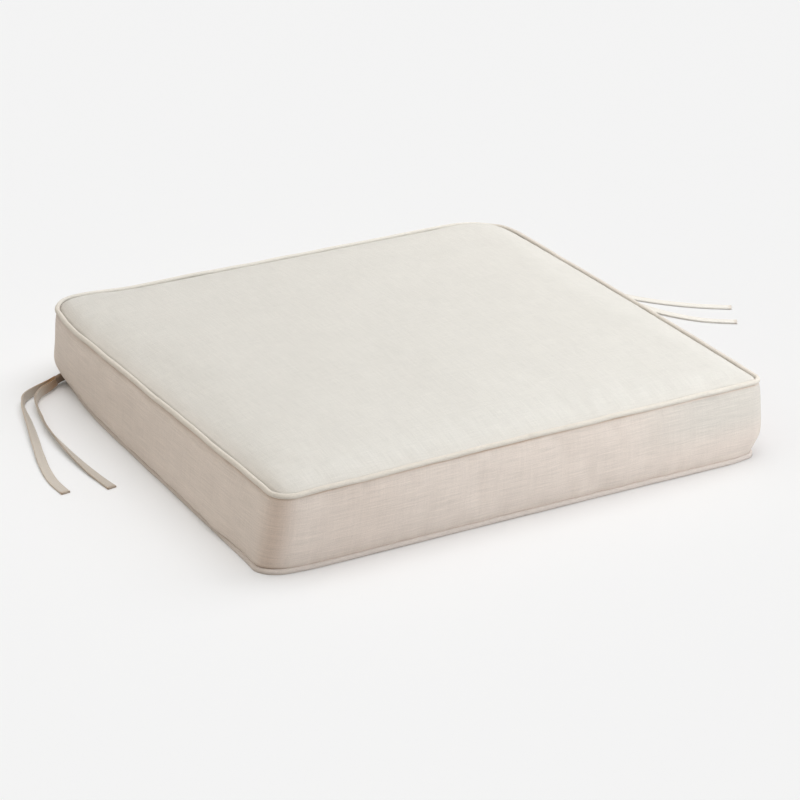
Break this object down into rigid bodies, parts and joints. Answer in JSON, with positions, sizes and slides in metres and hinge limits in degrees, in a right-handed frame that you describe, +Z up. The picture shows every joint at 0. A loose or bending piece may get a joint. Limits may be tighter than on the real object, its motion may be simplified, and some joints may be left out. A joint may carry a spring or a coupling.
{
  "type": "chair seat pad",
  "caption": "Boxed chair seat pad with piped top and bottom edges, a zipped cover over a foam core, and pairs of tie straps at the rear corners.",
  "frame": {"origin": "middle of the underside, where the pad rests", "axes": "+X across the pad, the front edge faces -Y and the tied back edge faces +Y, +Z up out of the sitting face"},
  "size_m": [0.7846, 0.495, 0.086],
  "materials": {
    "cover_fabric": "woven, slubbed, matt",
    "piping_fabric": "bias-cut woven cloth, matt",
    "tie_fabric": "folded and pressed woven cloth, matt",
    "filler_cord": "twisted polyester cord",
    "wadding": "bonded polyester fibre",
    "foam": "open-cell polyurethane foam",
    "zip_tape": "woven polyester tape",
    "zip_coil": "nylon coil",
    "zip_metal": "enamelled zinc alloy"
  },
  "bodies": {
    "cushion": {"foam_core": "foam", "lower_wadding": "wadding", "upper_wadding": "wadding", "top_panel": "cover_fabric", "bottom_panel": "cover_fabric", "boxing_band": "cover_fabric", "zip_boxing_lower": "cover_fabric", "zip_boxing_upper": "cover_fabric", "top_piping_sleeve": "piping_fabric", "top_piping_cord": "filler_cord", "bottom_piping_sleeve": "piping_fabric", "bottom_piping_cord": "filler_cord", "zip_tape_lower": "zip_tape", "zip_tape_upper": "zip_tape", "zip_coil_lower": "zip_coil", "zip_coil_upper": "zip_coil", "zip_closed_stops": "zip_metal", "zip_open_stop": "zip_metal", "left_tie_root": "tie_fabric", "left_tie_outer": "tie_fabric", "left_tie_inner": "tie_fabric", "right_tie_root": "tie_fabric", "right_tie_outer": "tie_fabric", "right_tie_inner": "tie_fabric"},
    "zip_slider": {"zip_slider": "zip_metal"},
    "zip_pull": {"zip_pull": "zip_metal"}
  },
  "joints": [
    {"name": "zip_slide", "type": "slide", "parent": "cushion", "child": "zip_slider", "axis": [-1, 0, 0], "range_m": [0, 0.38]},
    {"name": "pull_hinge", "type": "hinge", "parent": "zip_slider", "child": "zip_pull", "pos_m": [0.19, 0.2465, 0.038], "axis": [0, 0, 1], "range_deg": [-180, 0]}
  ]
}
